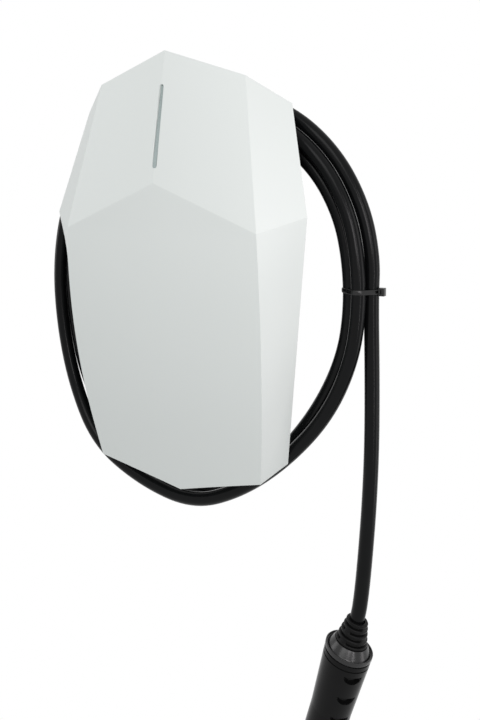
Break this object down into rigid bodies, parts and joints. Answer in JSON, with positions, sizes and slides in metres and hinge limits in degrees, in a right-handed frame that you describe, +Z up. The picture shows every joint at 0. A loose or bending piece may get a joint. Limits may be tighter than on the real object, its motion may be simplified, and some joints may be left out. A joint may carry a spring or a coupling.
{
  "type": "ev wallbox",
  "caption": "Wall-hung charging box for electric cars: faceted moulded front cover with a light slot, cable wound round the housing and a hanging hand-held connector.",
  "frame": {"origin": "middle of the wall bracket's four fixing holes, on the wall's face", "axes": "+Y into the wall, front towards -Y, +Z up, +X right as seen from the front"},
  "size_m": [0.4158, 0.1312, 0.8092],
  "materials": {
    "white_cover": "satin, moulded",
    "lens": "translucent, unlit",
    "board_green": "solder resist",
    "steel": "zinc plated",
    "galvanised": "galvanised sheet",
    "black_housing": "fine texture",
    "black_rubber": "matt",
    "black_moulding": "satin",
    "grey_moulding": "satin",
    "brass": "nickel plated in part",
    "gland_black": "satin nylon",
    "cable_jacket": "smooth, matt",
    "core_sleeve": "wire insulation",
    "tie_nylon": "nylon",
    "boot_rubber": "ribbed",
    "connector_gloss": "polished",
    "connector_black": "fine texture",
    "silver": "silver plated"
  },
  "bodies": {
    "root": {"front_cover": "white_cover", "light_strip": "lens", "light_board": "board_green", "light_board_screws": "steel", "back_housing": "black_housing", "lid_seal": "black_rubber", "housing_lid": "black_housing", "lid_screws": "steel", "cover_screws": "steel", "wall_bracket": "galvanised", "bracket_screws": "steel", "power_board": "board_green", "board_screws": "steel", "relays": "black_moulding", "power_module": "black_moulding", "current_sensor": "black_moulding", "supply_terminals": "grey_moulding", "cable_terminals": "grey_moulding", "board_spacers": "brass", "control_board": "board_green", "control_screws": "steel", "radio_module": "galvanised", "card_reader_board": "board_green", "card_reader_screws": "steel", "earth_stud": "brass", "earth_nut": "brass", "supply_gland_body": "gland_black", "supply_gland_nut": "gland_black", "supply_gland_seal": "black_rubber", "supply_gland_locknut": "gland_black", "supply_gland_plug": "gland_black", "cable_gland_body": "gland_black", "cable_gland_nut": "gland_black", "cable_gland_seal": "black_rubber", "cable_gland_locknut": "gland_black", "bend_relief": "black_rubber", "vent_plug": "gland_black", "vent_nut": "gland_black", "cable_end": "cable_jacket", "inner_leads": "core_sleeve", "cable_lead": "cable_jacket", "cable_coil": "cable_jacket", "cable_drop": "cable_jacket", "cable_tie": "tie_nylon", "connector_boot": "boot_rubber", "connector_cap_nut": "connector_gloss", "connector_handle": "connector_black", "connector_head": "connector_black", "contact_carrier": "connector_black", "contact_sleeves": "silver"}
  },
  "joints": []
}
